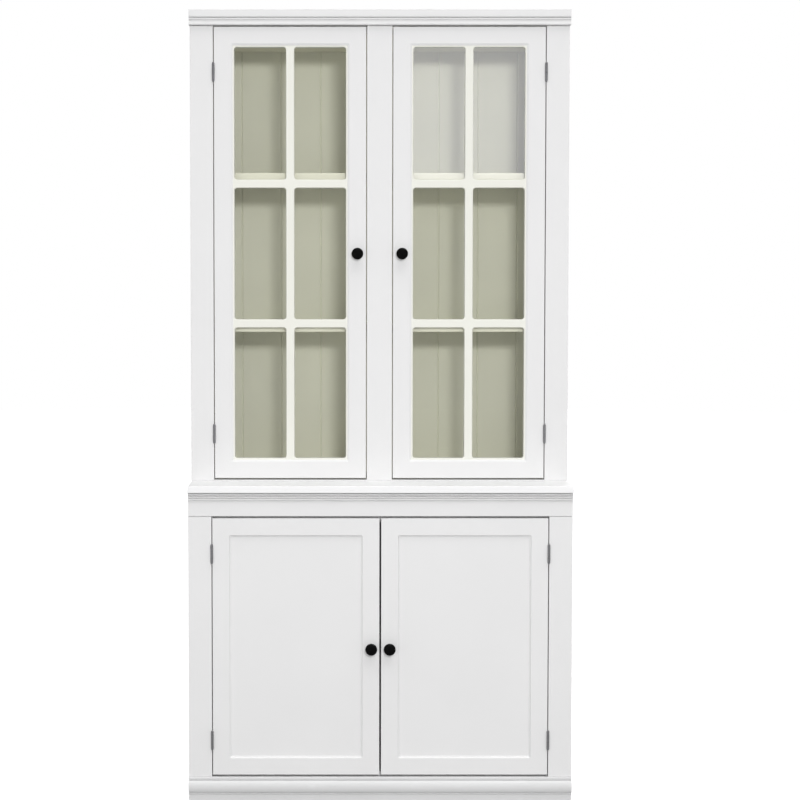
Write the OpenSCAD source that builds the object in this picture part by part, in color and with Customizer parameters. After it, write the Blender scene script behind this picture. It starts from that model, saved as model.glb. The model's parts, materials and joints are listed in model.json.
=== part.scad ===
// China cabinet: a hutch with two glazed doors standing on a base with two panel doors.
// Millimetres. +Z is up, the front faces -Y, and the origin is on the floor at the
// centre of the whole object's bounding box, knobs included.

/* [Overall] */
// Width across the carcass
body_w = 900; // [860:10:1000]
// Full height
total_h = 1900; // [1850:10:2000]
// Depth of the base, from its face frame to its back
base_d = 400; // [370:10:450]
// Depth of the hutch, from its face frame to its back
hutch_d = 310; // [290:10:330]

/* [Boards] */
// Thickness of sides, floors, tops and shelves
board_t = 18; // [16:1:20]
// Thickness of the base's back panel
back_t = 6; // [4:1:9]
// Thickness of the hutch's back boards
back_board_t = 10; // [8:1:14]
// Face width of one back board
back_board_w = 101; // [90:1:110]
// Sideways offset of the back boards from a symmetric layout
back_board_shift = 9; // [0:1:40]
// Size of the chamfer along each back board's edges
back_groove = 2.5; // [1:0.5:4]

/* [Face frame] */
// Thickness of the face frame
frame_t = 22; // [20:1:24]
// Width of the side stiles
stile_w = 54.5; // [45:0.5:60]
// Width of the mullion between the hutch doors
mullion_w = 60; // [50:1:64]

/* [Base] */
// Height of the moulded plinth
plinth_h = 92.5; // [90:0.5:110]
// Drop of the base's bottom board below the plinth's top
floor_drop = 12; // [10:1:14]
// Height of the frieze's lower edge above the floor
frieze_z = 709; // [690:1:720]
// Height of the reeded moulding's lower edge above the floor
reeds_z = 744; // [738:1:752]
// Height of the reeded moulding
reeds_h = 21; // [20.5:0.5:24]
// Thickness of the countertop
counter_t = 16; // [12:1:20]
// Overhang of the countertop in front of the face frame
counter_front = 12; // [10:1:16]
// Overhang of the countertop at each side
counter_side = 1; // [1:1:8]

/* [Cornice] */
// Height of the cornice
cornice_h = 36; // [34:1:44]
// Overhang of the cornice in front of the face frame
cornice_front = 12; // [12:1:18]
// Overhang of the cornice at each side
cornice_side = 2; // [0:1:4]

/* [Doors] */
// Thickness of the doors
door_t = 20; // [20:1:22]
// Gap between a door's edge and the frame
side_gap = 2; // [2:0.5:3]
// Gap between the two base doors
centre_gap = 4; // [3:0.5:6]
// Gap below each base door
base_sill_gap = 4.5; // [3:0.5:6]
// Gap above each base door
base_head_gap = 5; // [2:1:5]
// Height of the thin sill under the hutch doors
hutch_sill_h = 2.5; // [2:0.5:5]
// Gap between that sill and each hutch door
hutch_sill_gap = 4; // [3:1:6]
// Gap above each hutch door
hutch_head_gap = 3; // [2:1:4]
// Width of the hutch doors' stiles
glazed_stile_w = 44.5; // [40:0.5:50]
// Width of the hutch doors' rails
glazed_rail_w = 44; // [40:0.5:54]
// Width of the base doors' stiles and rails
panel_frame_w = 43.5; // [40:0.5:60]

/* [Glazing] */
// Panes across one hutch door
pane_columns = 2; // [2:1:2]
// Panes up one hutch door
pane_rows = 3; // [2:1:4]
// Face width of the muntins
muntin_w = 19.5; // [18:0.5:24]
// Width of the glazing grid's border inside the door's frame
grid_border = 3.5; // [3:0.5:5]
// Corner radius of the glazing grid's openings
pane_corner_r = 4.5; // [2:0.5:8]
// Thickness of the glass
glass_t = 4; // [3:1:5]
// Overlap of the glass behind its frame
glass_lip = 6; // [5:0.5:7]
// Width of the bevel round the glazing grid
glazed_bevel_w = 5; // [3:1:8]
// Depth of the bevel round the glazing grid
glazed_bevel_t = 3; // [2:0.5:4]

/* [Base door panels] */
// Thickness of the recessed panel
panel_t = 6; // [4:1:7]
// Depth of the panel's face behind the door's face
panel_recess = 5; // [5:1:8]
// Width of the bevel round the panel
panel_bevel_w = 5; // [5:1:12]
// Depth of the panel's edge inside its frame
panel_tongue = 8; // [6:1:10]

/* [Shelves] */
// Height of the lower hutch shelf's underside above the floor
lower_shelf_z = 1137; // [1080:1:1160]
// Height of the upper hutch shelf's underside above the floor
upper_shelf_z = 1500; // [1440:1:1520]
// Height of the base shelf's underside above the floor
base_shelf_z = 400; // [300:5:500]
// Distance of the hutch shelves' front edges behind the doors
shelf_setback = 8; // [4:1:20]
// Distance of the base shelf's front edge behind the doors
base_shelf_setback = 40; // [20:5:60]
// Radius of the shelf pins
shelf_pin_r = 2.5; // [2:0.5:3]

/* [Hinges] */
// Height of each hinge
hinge_h = 41; // [40:1:60]
// Outer radius of the knuckles
knuckle_r = 3.2; // [2.8:0.1:3.2]
// Radius of the hinge pins
pin_r = 1.5; // [1.2:0.1:1.6]
// Thickness of the hinge leaves
leaf_t = 0.8; // [0.6:0.1:0.8]
// Depth of the leaves between door and frame
leaf_d = 16; // [14:1:17]
// Distance from a hutch door's top or bottom to the middle of its hinge
hutch_hinge_inset = 107; // [80:1:140]
// Distance from a base door's top or bottom to the middle of its hinge
base_hinge_inset = 83; // [60:1:120]

/* [Knobs] */
// Radius of the knobs
knob_r = 14; // [12:1:16]
// How far the knobs stand out from the doors
knob_out = 28; // [24:1:32]
// Distance from a hutch door's free edge to its knob
hutch_knob_inset = 21; // [20:0.5:26]
// Distance from a base door's free edge to its knob
base_knob_inset = 19.5; // [18:0.5:24]
// Height of the hutch knobs above the floor
hutch_knob_z = 1324; // [1250:1:1400]
// Height of the base knobs above the floor
base_knob_z = 399; // [360:1:440]

/* [Hidden] */
$fn = 48;
LEFT = -1;
RIGHT = 1;
paint = [0.93, 0.93, 0.92];
inside_paint = [0.78, 0.79, 0.72];
glass_tint = [0.80, 0.88, 0.84, 0.35];
steel = [0.55, 0.55, 0.56];
black = [0.05, 0.05, 0.05];
arc_steps = 8;
eps = 0.01;

// Depths are measured from the base's face frame; place() centres them on the origin.
origin_y = (base_d - knob_out) / 2;
side_in = body_w / 2 - board_t;
opening_x = body_w / 2 - stile_w;

reeds_top = reeds_z + reeds_h;
counter_z = reeds_top + counter_t;
cornice_z = total_h - cornice_h;
hutch_y = base_d - hutch_d;
base_floor_z = plinth_h - floor_drop;

base_door_x0 = opening_x - side_gap;
base_door_x1 = centre_gap / 2;
base_door_z0 = plinth_h + base_sill_gap;
base_door_z1 = frieze_z - base_head_gap;

hutch_door_x0 = opening_x - side_gap;
hutch_door_x1 = mullion_w / 2 + side_gap;
hutch_door_z0 = counter_z + hutch_sill_h + hutch_sill_gap;
hutch_door_z1 = cornice_z - hutch_head_gap;

// The grid fills the frame's opening; the glazed area is what lies inside its border.
grid_w = hutch_door_x0 - hutch_door_x1 - 2 * glazed_stile_w;
grid_h = hutch_door_z1 - hutch_door_z0 - 2 * glazed_rail_w;
grid_x0 = -hutch_door_x0 + glazed_stile_w;
grid_z0 = hutch_door_z0 + glazed_rail_w;
glaze_w = grid_w - 2 * grid_border;
glaze_h = grid_h - 2 * grid_border;
glaze_x0 = grid_x0 + grid_border;
glaze_z0 = grid_z0 + grid_border;
pane_w = (glaze_w - (pane_columns - 1) * muntin_w) / pane_columns;
pane_h = (glaze_h - (pane_rows - 1) * muntin_w) / pane_rows;
glass_play = 0.5;
glass_margin = glass_lip - glass_play;
glass_y = hutch_y + door_t / 2;
muntin_web = muntin_w - 2 * glass_lip;
bead_t = 5;

panel_x0 = -base_door_x0 + panel_frame_w;
panel_w = base_door_x0 - base_door_x1 - 2 * panel_frame_w;
panel_z0 = base_door_z0 + panel_frame_w;
panel_h = base_door_z1 - base_door_z0 - 2 * panel_frame_w;

stop_h = 34;
stop_t = 18;
stop_drop = 16;
stop_z = frieze_z - stop_drop;

// The hinge axis lies in the gap beside the door, just in front of the door's face.
axis_out = 3.4;
axis_x = opening_x - side_gap / 2;
knuckle_count = 5;
knuckle_gap = 0.25;
knuckle_h = (hinge_h - (knuckle_count - 1) * knuckle_gap) / knuckle_count;
pin_play = 0.05;
tab_y = pin_r + 0.1;
leaf_y = axis_out + 0.2;
finial_h = 4;
finial_r = knuckle_r - 0.3;
finial_tip_r = 1;
hutch_hinges = [hutch_door_z0 + hutch_hinge_inset, hutch_door_z1 - hutch_hinge_inset];
base_hinges = [base_door_z0 + base_hinge_inset, base_door_z1 - base_hinge_inset];

screw_r = 1.5;
screw_head_r = 2.8;
screw_neck_r = 1.6;
screw_l = 14;
screw_spread = 13;
screw_depth = leaf_d * 0.58;

catch_size = [46, 14, 12];
catch_gap = 1.7;
catch_screw_x = 15;
catch_screw_in = 8;
catch_countersink = 1.6;
plate_size = [38, 1.2, 14];
plate_screw_l = 11;
hutch_catch_x = 98;
base_catch_x = 82;
knob_screw_r = 2;
knob_screw_in = 12;
knob_screw_head_r = 4.4;
knob_screw_head_h = 2.4;

pin_out = 10;
pin_in = 8;
pin_front = 38;
pin_back = 40;

// ---------------------------------------------------------------- helpers

// Moves depths measured from the face frame into the object's own frame.
module place() {
  translate([0, -origin_y, 0]) children();
}

// Left-hand geometry as it is, or mirrored to the right.
module on_side(side) {
  place() mirror([side == RIGHT ? 1 : 0, 0, 0]) children();
}

// A box from its lowest to its highest corner.
module slab(low, high) {
  translate(low) cube(high - low);
}

// An outline of [depth, height] points, extruded along X.
module strip_x(points, x0, x1) {
  translate([x0, 0, 0]) rotate([90, 0, 90]) linear_extrude(x1 - x0) polygon(points);
}

// An outline of [x, height] points, extruded along Y.
module strip_y(points, y0, y1) {
  translate([0, y1, 0]) rotate([90, 0, 0]) linear_extrude(y1 - y0) polygon(points);
}

// Points along an arc from one angle to another.
function arc(centre, r, from, to) =
  [for (i = [0 : arc_steps])
    let (a = from + (to - from) * i / arc_steps)
    centre + r * [cos(a), sin(a)]];

// A half-round reed standing out to -u, from height v0 to v1, listed upwards.
function reed(u, v0, v1) =
  arc([u, (v0 + v1) / 2], (v1 - v0) / 2, 270, 90);

// A rectangular opening that widens towards the front: the cutter for a bevelled edge.
module bevel_cutter(x0, z0, w, h, y, spread, depth) {
  front = y - eps;
  grow = spread * (depth + eps) / depth;
  polyhedron(
    points = [
      [x0 - grow, front, z0 - grow], [x0 + w + grow, front, z0 - grow],
      [x0 + w + grow, front, z0 + h + grow], [x0 - grow, front, z0 + h + grow],
      [x0, y + depth, z0], [x0 + w, y + depth, z0],
      [x0 + w, y + depth, z0 + h], [x0, y + depth, z0 + h]
    ],
    faces = [
      [0, 3, 2, 1], [4, 5, 6, 7],
      [0, 1, 5, 4], [1, 2, 6, 5], [2, 3, 7, 6], [3, 0, 4, 7]
    ]
  );
}

// ---------------------------------------------------------------- hinges and screws

// Moves children from a hinge's own axis to a left-hand hinge at each height.
module at_hinges(front, heights) {
  for (z = heights)
    translate([-axis_x, front - axis_out, z - hinge_h / 2]) children();
}

// One leaf with its knuckles, on the +X side of the axis: first is 0 or 1.
module hinge_leaf(first, bore_r) {
  inner = side_gap / 2 - leaf_t;
  difference() {
    union() {
      slab([inner, leaf_y, 0], [inner + leaf_t, axis_out + leaf_d, hinge_h]);
      for (i = [first : 2 : knuckle_count - 1])
        translate([0, 0, i * (knuckle_h + knuckle_gap)]) {
          cylinder(r = knuckle_r, h = knuckle_h);
          slab([inner, tab_y, 0], [inner + leaf_t, leaf_y, knuckle_h]);
        }
    }
    translate([0, 0, -1]) cylinder(r = bore_r, h = hinge_h + 2);
    leaf_screws();
  }
}

// The two countersunk screws of one leaf, driven towards +X.
module leaf_screws() {
  inner = side_gap / 2 - leaf_t;
  for (z = [hinge_h / 2 - screw_spread, hinge_h / 2 + screw_spread])
    translate([inner, axis_out + screw_depth, z]) rotate([0, 90, 0]) {
      cylinder(r1 = screw_head_r, r2 = screw_neck_r, h = leaf_t);
      cylinder(r = screw_r, h = screw_l);
    }
}

// The frame's screws of the hinges on one side, driven away from the door.
module frame_leaf_screws(front, heights) {
  at_hinges(front, heights) mirror([1, 0, 0]) leaf_screws();
}

// One pin with a tapered finial at each end.
module hinge_pin() {
  cylinder(r = pin_r, h = hinge_h);
  translate([0, 0, hinge_h]) cylinder(r1 = finial_r, r2 = finial_tip_r, h = finial_h);
  translate([0, 0, -finial_h]) cylinder(r1 = finial_tip_r, r2 = finial_r, h = finial_h);
}

// Screw that holds a knob from behind a door whose face is at y = front.
module knob_screw(x, front, z) {
  translate([x, front, z]) rotate([-90, 0, 0]) {
    translate([0, 0, -knob_screw_in]) cylinder(r = knob_screw_r, h = knob_screw_in + door_t);
    translate([0, 0, door_t]) cylinder(r = knob_screw_head_r, h = knob_screw_head_h);
  }
}

// Screw that holds a strike plate, its head flush with the plate.
module plate_screw(x, back, z) {
  translate([x, back + plate_size[1], z]) rotate([90, 0, 0]) {
    cylinder(r1 = screw_head_r, r2 = screw_neck_r, h = plate_size[1]);
    cylinder(r = screw_r, h = plate_screw_l);
  }
}

// A steel plate on a door's back for the catch to hold.
module strike_plate(x, back, z) {
  difference() {
    translate([x, back + plate_size[1] / 2, z]) cube(plate_size, center = true);
    plate_screw(x, back, z);
  }
}

// A magnetic catch under a board, its front face close to the strike plate.
module catch_body(x, back, top) {
  low = [x - catch_size[0] / 2, back + catch_gap, top - catch_size[2]];
  difference() {
    slab(low, low + catch_size);
    catch_screws(x, back, top);
  }
}

module catch_screws(x, back, top) {
  for (dx = [-catch_screw_x, catch_screw_x])
    translate([x + dx, back + catch_gap + catch_size[1] / 2, top - catch_size[2]]) {
      cylinder(r1 = screw_head_r, r2 = screw_r, h = catch_countersink);
      cylinder(r = screw_r, h = catch_size[2] + catch_screw_in);
    }
}

// ---------------------------------------------------------------- base carcass

module base_side(side) {
  color(paint) on_side(side) difference() {
    slab([-body_w / 2, frame_t, 0], [-side_in, base_d, reeds_top]);
    shelf_pin_row(base_shelf_z, frame_t + base_shelf_setback, base_d);
  }
}

module base_floor() {
  color(paint) place()
    slab([-side_in, frame_t, base_floor_z],
         [side_in, base_d - back_t, base_floor_z + board_t]);
}

module base_back() {
  color(paint) place()
    slab([-side_in, base_d - back_t, base_floor_z], [side_in, base_d, reeds_top]);
}

module base_stile(side) {
  color(paint) on_side(side) difference() {
    slab([-body_w / 2, 0, plinth_h], [-opening_x, frame_t, frieze_z]);
    frame_leaf_screws(0, base_hinges);
  }
}

module base_frieze() {
  color(paint) place()
    slab([-body_w / 2, 0, frieze_z], [body_w / 2, frame_t, reeds_top]);
}

module base_door_stop() {
  color(paint) place() difference() {
    slab([-side_in, frame_t, stop_z], [side_in, frame_t + stop_t, stop_z + stop_h]);
    base_catch_screws();
  }
}

// The plinth's front: a lower board with a small lip, a torus, a quirk and a top fillet. A
// rebate along its top leaves a dark line under the doors.
module plinth() {
  board_out = 2;
  lip = 1.5;
  torus_out = 8;
  torus_back = 3;
  torus_h = 31;
  quirk = 1.5;
  quirk_out = 1;
  fillet_h = 6.5;
  fillet_out = 3.5;
  rebate_y = 1.5;
  rebate_h = 8;
  fillet_z = plinth_h - fillet_h;
  torus_z0 = fillet_z - torus_h;
  torus_r = (torus_h - quirk) / 2;
  points = concat(
    [[frame_t, 0], [-board_out, 0], [-board_out, torus_z0 - 3 * lip],
     [-board_out - lip, torus_z0 - 2 * lip], [-board_out - lip, torus_z0 - lip],
     [-torus_back, torus_z0 - lip]],
    [for (a = [0 : arc_steps * 2])
      let (t = 270 - 180 * a / (arc_steps * 2))
      [-torus_back + torus_out * cos(t), torus_z0 + torus_r + torus_r * sin(t)]],
    [[-quirk_out, fillet_z - quirk], [-quirk_out, fillet_z], [-fillet_out, fillet_z],
     [-fillet_out, plinth_h - quirk], [quirk - fillet_out, plinth_h], [frame_t, plinth_h]]
  );
  color(paint) place() difference() {
    strip_x(points, -body_w / 2, body_w / 2);
    slab([-opening_x, rebate_y, plinth_h - rebate_h], [opening_x, frame_t + 1, plinth_h + 1]);
  }
}

// The countertop: its front and side edges lean back a little and are rounded above.
module countertop() {
  nose = 4;
  lean = 1.2;
  r = 2.5;
  half = body_w / 2 + counter_side;
  front_outline = concat(
    [[base_d, counter_z], [base_d, reeds_top], [-counter_front, reeds_top],
     [-counter_front, reeds_top + nose]],
    arc([-counter_front + lean + r, counter_z - r], r, 180, 90)
  );
  end_outline = concat(
    [[-half, reeds_top], [-half, reeds_top + nose]],
    arc([-half + lean + r, counter_z - r], r, 180, 90),
    arc([half - lean - r, counter_z - r], r, 90, 0),
    [[half, reeds_top + nose], [half, reeds_top]]
  );
  color(paint) place() intersection() {
    strip_x(front_outline, -half, half);
    strip_y(end_outline, -counter_front, base_d);
  }
}

// Three reeds between deep quirks over a fillet, stepping back downwards.
module counter_moulding() {
  fillet_h = 2;
  fillet_out = 3;
  quirk_out = 1;
  reed_h = 3.3;
  reed_out = 3.5;
  step_out = 1.8;
  pitch = 5.6;
  quirk_h = 1.5;
  first_z = reeds_z + fillet_h + quirk_h;
  points = concat(
    [[0, reeds_z], [-fillet_out, reeds_z], [-fillet_out, reeds_z + fillet_h],
     [-quirk_out, reeds_z + fillet_h]],
    [for (i = [0 : 2])
      let (z = first_z + i * pitch)
      each concat([[-quirk_out, z]], reed(-reed_out - i * step_out, z, z + reed_h),
                  [[-quirk_out, z + reed_h]])],
    [[-quirk_out, reeds_top], [0, reeds_top]]
  );
  color(paint) place() strip_x(points, -body_w / 2, body_w / 2);
}

module base_shelf() {
  play = 1;
  color(paint) place()
    slab([-side_in + play, frame_t + base_shelf_setback, base_shelf_z],
         [side_in - play, base_d - back_t, base_shelf_z + board_t]);
}

// ---------------------------------------------------------------- shelf pins

// Two pins on the left side under a shelf that starts at y = front.
module shelf_pin_row(z, front, back) {
  for (y = [front + pin_front, back - pin_back])
    translate([-side_in - pin_in, y, z - shelf_pin_r]) rotate([0, 90, 0])
      cylinder(r = shelf_pin_r, h = pin_in + pin_out);
}

module shelf_pins() {
  color(steel) for (side = [LEFT, RIGHT]) on_side(side) {
    shelf_pin_row(base_shelf_z, frame_t + base_shelf_setback, base_d);
    shelf_pin_row(lower_shelf_z, hutch_y + frame_t, base_d);
    shelf_pin_row(upper_shelf_z, hutch_y + frame_t, base_d);
  }
}

// ---------------------------------------------------------------- hutch carcass

module hutch_side(side) {
  color(paint) on_side(side) difference() {
    slab([-body_w / 2, hutch_y + frame_t, counter_z], [-side_in, base_d, cornice_z]);
    shelf_pin_row(lower_shelf_z, hutch_y + frame_t, base_d);
    shelf_pin_row(upper_shelf_z, hutch_y + frame_t, base_d);
  }
}

// The floor board, and the thin sill under the doors.
module hutch_floor() {
  front = hutch_y + frame_t;
  sill_top = counter_z + hutch_sill_h;
  color(paint) place() {
    slab([-side_in, front, counter_z], [side_in, base_d - back_board_t, counter_z + board_t]);
    for (side = [LEFT, RIGHT]) mirror([side == RIGHT ? 1 : 0, 0, 0])
      slab([-opening_x, hutch_y, counter_z], [-mullion_w / 2, front, sill_top]);
  }
}

module hutch_top() {
  color(paint) place() difference() {
    slab([-side_in, hutch_y + frame_t, cornice_z - board_t],
         [side_in, base_d - back_board_t, cornice_z]);
    hutch_catch_screws();
  }
}

// Upright boards with chamfered edges, which form a V-groove at every joint.
module hutch_back_boards() {
  c = back_groove;
  front = base_d - back_board_t;
  count = ceil(2 * side_in / back_board_w);
  first = back_board_shift - (count / 2) * back_board_w;
  color(inside_paint) place() translate([0, 0, counter_z]) linear_extrude(cornice_z - counter_z)
    for (i = [0 : count - 1]) {
      x0 = max(-side_in, first + i * back_board_w);
      x1 = min(side_in, first + (i + 1) * back_board_w);
      polygon([[x0, base_d], [x1, base_d], [x1, front + c], [x1 - c, front],
               [x0 + c, front], [x0, front + c]]);
    }
}

module hutch_stile(side) {
  color(paint) on_side(side) difference() {
    slab([-body_w / 2, hutch_y, counter_z], [-opening_x, hutch_y + frame_t, cornice_z]);
    frame_leaf_screws(hutch_y, hutch_hinges);
  }
}

module hutch_mullion() {
  color(paint) place()
    slab([-mullion_w / 2, hutch_y, counter_z],
         [mullion_w / 2, hutch_y + frame_t, cornice_z]);
}

module hutch_shelf(z) {
  play = 1;
  color(paint) place()
    slab([-side_in + play, hutch_y + frame_t + shelf_setback, z],
         [side_in - play, base_d - back_board_t, z + board_t]);
}

// A fascia with a rounded lower edge, over a quirk, a fillet and a splayed lower member.
module cornice() {
  quirk_d = 8;
  lower_d = 3;
  lower_h = 11;
  lower_quirk_h = 1;
  fillet_h = 4;
  upper_quirk_h = 1.5;
  splay = 2.5;
  lower_r = 3;
  front = hutch_y - cornice_front;
  quirk_y = front + quirk_d;
  lower_y = front + lower_d;
  lower_z = cornice_z + lower_h;
  fillet_z0 = lower_z + lower_quirk_h;
  fillet_z1 = fillet_z0 + fillet_h;
  fascia_z = fillet_z1 + upper_quirk_h;
  fascia_r = 4;
  top_ease = 1.5;
  points = concat(
    [[base_d, cornice_z]],
    arc([lower_y + lower_r, cornice_z + lower_r], lower_r, 270, 180),
    [[lower_y + splay, lower_z], [quirk_y, lower_z], [quirk_y, fillet_z0],
     [lower_y, fillet_z0], [lower_y, fillet_z1], [quirk_y, fillet_z1], [quirk_y, fascia_z]],
    arc([front + fascia_r, fascia_z + fascia_r], fascia_r, 270, 180),
    [[front, total_h - top_ease], [front + top_ease, total_h], [base_d, total_h]]
  );
  color(paint) place()
    strip_x(points, -body_w / 2 - cornice_side, body_w / 2 + cornice_side);
}

// ---------------------------------------------------------------- frame hardware

module frame_hinge_leaves() {
  color(steel) for (side = [LEFT, RIGHT]) on_side(side) {
    at_hinges(0, base_hinges) mirror([1, 0, 0]) hinge_leaf(0, pin_r);
    at_hinges(hutch_y, hutch_hinges) mirror([1, 0, 0]) hinge_leaf(0, pin_r);
  }
}

module frame_screws() {
  color(steel) for (side = [LEFT, RIGHT]) on_side(side) {
    frame_leaf_screws(0, base_hinges);
    frame_leaf_screws(hutch_y, hutch_hinges);
  }
  color(steel) place() {
    base_catch_screws();
    hutch_catch_screws();
  }
}

module hinge_pins() {
  color(steel) for (side = [LEFT, RIGHT]) on_side(side) {
    at_hinges(0, base_hinges) hinge_pin();
    at_hinges(hutch_y, hutch_hinges) hinge_pin();
  }
}

module base_catch_screws() {
  for (side = [LEFT, RIGHT])
    catch_screws(side * base_catch_x, door_t, stop_z);
}

module hutch_catch_screws() {
  for (side = [LEFT, RIGHT])
    catch_screws(side * hutch_catch_x, hutch_y + door_t, cornice_z - board_t);
}

module magnetic_catches() {
  color(steel) place() for (side = [LEFT, RIGHT]) {
    catch_body(side * base_catch_x, door_t, stop_z);
    catch_body(side * hutch_catch_x, hutch_y + door_t, cornice_z - board_t);
  }
}

// ---------------------------------------------------------------- hutch doors

// What is cut from the glazed frame: the bevel in front and the glass's rebate behind.
module glazed_cut() {
  bevel_cutter(grid_x0, grid_z0, grid_w, grid_h, hutch_y, glazed_bevel_w, glazed_bevel_t);
  slab([glaze_x0 - glass_lip, glass_y, glaze_z0 - glass_lip],
       [glaze_x0 + glaze_w + glass_lip, hutch_y + door_t + 1, glaze_z0 + glaze_h + glass_lip]);
}

module hutch_door_stiles(side) {
  color(paint) on_side(side) difference() {
    for (x = [-hutch_door_x0, -hutch_door_x1 - glazed_stile_w])
      slab([x, hutch_y, hutch_door_z0], [x + glazed_stile_w, hutch_y + door_t, hutch_door_z1]);
    glazed_cut();
    at_hinges(hutch_y, hutch_hinges) leaf_screws();
    hutch_knob_screw();
  }
}

module hutch_door_rails(side) {
  color(paint) on_side(side) difference() {
    for (z = [hutch_door_z0, hutch_door_z1 - glazed_rail_w])
      slab([grid_x0, hutch_y, z], [grid_x0 + grid_w, hutch_y + door_t, z + glazed_rail_w]);
    glazed_cut();
    hutch_plate_screw();
  }
}

// The outline of one pane's opening, from its lower left corner.
module pane_outline() {
  r = pane_corner_r;
  translate([r, 0]) square([pane_w - 2 * r, pane_h]);
  translate([0, r]) square([pane_w, pane_h - 2 * r]);
  for (x = [r, pane_w - r], y = [r, pane_h - r])
    translate([x, y]) circle(r);
}

// The glazing grid: a pierced plate in front of the glass, and webs between the panes.
module hutch_door_muntins(side) {
  front = hutch_y + glazed_bevel_t;
  web_back = glass_y + glass_t + bead_t;
  overlap = 1;
  color(paint) on_side(side) {
    difference() {
      slab([grid_x0, front, grid_z0], [grid_x0 + grid_w, glass_y, grid_z0 + grid_h]);
      at_panes() translate([0, glass_y + overlap, 0]) rotate([90, 0, 0])
        linear_extrude(glass_y - front + 2 * overlap) pane_outline();
    }
    for (i = [1 : pane_columns - 1])
      translate([glaze_x0 + i * (pane_w + muntin_w) - muntin_w / 2, 0, 0])
        slab([-muntin_web / 2, glass_y - overlap, glaze_z0],
             [muntin_web / 2, web_back, glaze_z0 + glaze_h]);
    for (i = [1 : pane_rows - 1])
      translate([0, 0, glaze_z0 + i * (pane_h + muntin_w) - muntin_w / 2])
        slab([glaze_x0, glass_y - overlap, -muntin_web / 2],
             [glaze_x0 + glaze_w, web_back, muntin_web / 2]);
  }
}

// Puts children at the lower left corner of every pane's opening.
module at_panes() {
  for (i = [0 : pane_columns - 1], j = [0 : pane_rows - 1])
    translate([glaze_x0 + i * (pane_w + muntin_w), 0, glaze_z0 + j * (pane_h + muntin_w)])
      children();
}

module hutch_door_panes(side) {
  color(glass_tint) on_side(side) at_panes()
    slab([-glass_margin, glass_y, -glass_margin],
         [pane_w + glass_margin, glass_y + glass_t, pane_h + glass_margin]);
}

// One rectangular ring of beading holds each pane from behind.
module hutch_door_beads(side) {
  y = glass_y + glass_t;
  color(paint) on_side(side) at_panes() difference() {
    slab([-glass_margin, y, -glass_margin],
         [pane_w + glass_margin, y + bead_t, pane_h + glass_margin]);
    slab([0, y - 1, 0], [pane_w, y + bead_t + 1, pane_h]);
  }
}

module hutch_knob_screw() {
  knob_screw(-hutch_door_x1 - hutch_knob_inset, hutch_y, hutch_knob_z);
}

module hutch_plate_screw() {
  plate_screw(-hutch_catch_x, hutch_y + door_t, cornice_z - board_t - catch_size[2] / 2);
}

module hutch_door_knob(side) {
  color(black) on_side(side) difference() {
    knob(-hutch_door_x1 - hutch_knob_inset, hutch_y, hutch_knob_z);
    hutch_knob_screw();
  }
}

module hutch_door_hinge_leaves(side) {
  color(steel) on_side(side) at_hinges(hutch_y, hutch_hinges) hinge_leaf(1, pin_r + pin_play);
}

module hutch_door_screws(side) {
  color(steel) on_side(side) {
    at_hinges(hutch_y, hutch_hinges) leaf_screws();
    hutch_knob_screw();
    hutch_plate_screw();
  }
}

module hutch_door_strike_plate(side) {
  color(steel) on_side(side)
    strike_plate(-hutch_catch_x, hutch_y + door_t, cornice_z - board_t - catch_size[2] / 2);
}

// A turned knob: flange, waisted stem and a domed head, on a face at y = front.
module knob(x, front, z) {
  head = knob_out * 0.62;
  rim = knob_out * 0.16;
  dome = knob_out - head - rim;
  profile = concat(
    [[0, 0], [knob_r * 0.6, 0], [knob_r * 0.6, 1.5], [knob_r * 0.42, 4],
     [knob_r * 0.38, head * 0.55], [knob_r * 0.5, head * 0.82], [knob_r * 0.9, head],
     [knob_r, head + rim * 0.4], [knob_r, head + rim * 0.8]],
    [for (i = [1 : arc_steps])
      let (a = 90 * i / arc_steps)
      [knob_r * cos(a), head + rim * 0.8 + (dome + rim * 0.2) * sin(a)]]
  );
  translate([x, front, z]) rotate([90, 0, 0]) rotate_extrude() polygon(profile);
}

// ---------------------------------------------------------------- base doors

// What is cut from the panel's frame: the bevel in front and the panel's groove.
module panel_cut() {
  bevel_cutter(panel_x0, panel_z0, panel_w, panel_h, 0, panel_bevel_w, panel_recess);
  panel_board();
}

module panel_board() {
  slab([panel_x0 - panel_tongue, panel_recess, panel_z0 - panel_tongue],
       [panel_x0 + panel_w + panel_tongue, panel_recess + panel_t,
        panel_z0 + panel_h + panel_tongue]);
}

module base_door_stiles(side) {
  color(paint) on_side(side) difference() {
    for (x = [-base_door_x0, -base_door_x1 - panel_frame_w])
      slab([x, 0, base_door_z0], [x + panel_frame_w, door_t, base_door_z1]);
    panel_cut();
    at_hinges(0, base_hinges) leaf_screws();
    base_knob_screw();
  }
}

module base_door_rails(side) {
  color(paint) on_side(side) difference() {
    for (z = [base_door_z0, base_door_z1 - panel_frame_w])
      slab([panel_x0, 0, z], [panel_x0 + panel_w, door_t, z + panel_frame_w]);
    panel_cut();
    base_plate_screw();
  }
}

module base_door_panel(side) {
  color(paint) on_side(side) panel_board();
}

module base_knob_screw() {
  knob_screw(-base_door_x1 - base_knob_inset, 0, base_knob_z);
}

module base_plate_screw() {
  plate_screw(-base_catch_x, door_t, stop_z - catch_size[2] / 2);
}

module base_door_knob(side) {
  color(black) on_side(side) difference() {
    knob(-base_door_x1 - base_knob_inset, 0, base_knob_z);
    base_knob_screw();
  }
}

module base_door_hinge_leaves(side) {
  color(steel) on_side(side) at_hinges(0, base_hinges) hinge_leaf(1, pin_r + pin_play);
}

module base_door_screws(side) {
  color(steel) on_side(side) {
    at_hinges(0, base_hinges) leaf_screws();
    base_knob_screw();
    base_plate_screw();
  }
}

module base_door_strike_plate(side) {
  color(steel) on_side(side) strike_plate(-base_catch_x, door_t, stop_z - catch_size[2] / 2);
}

// ---------------------------------------------------------------- nodes

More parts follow.
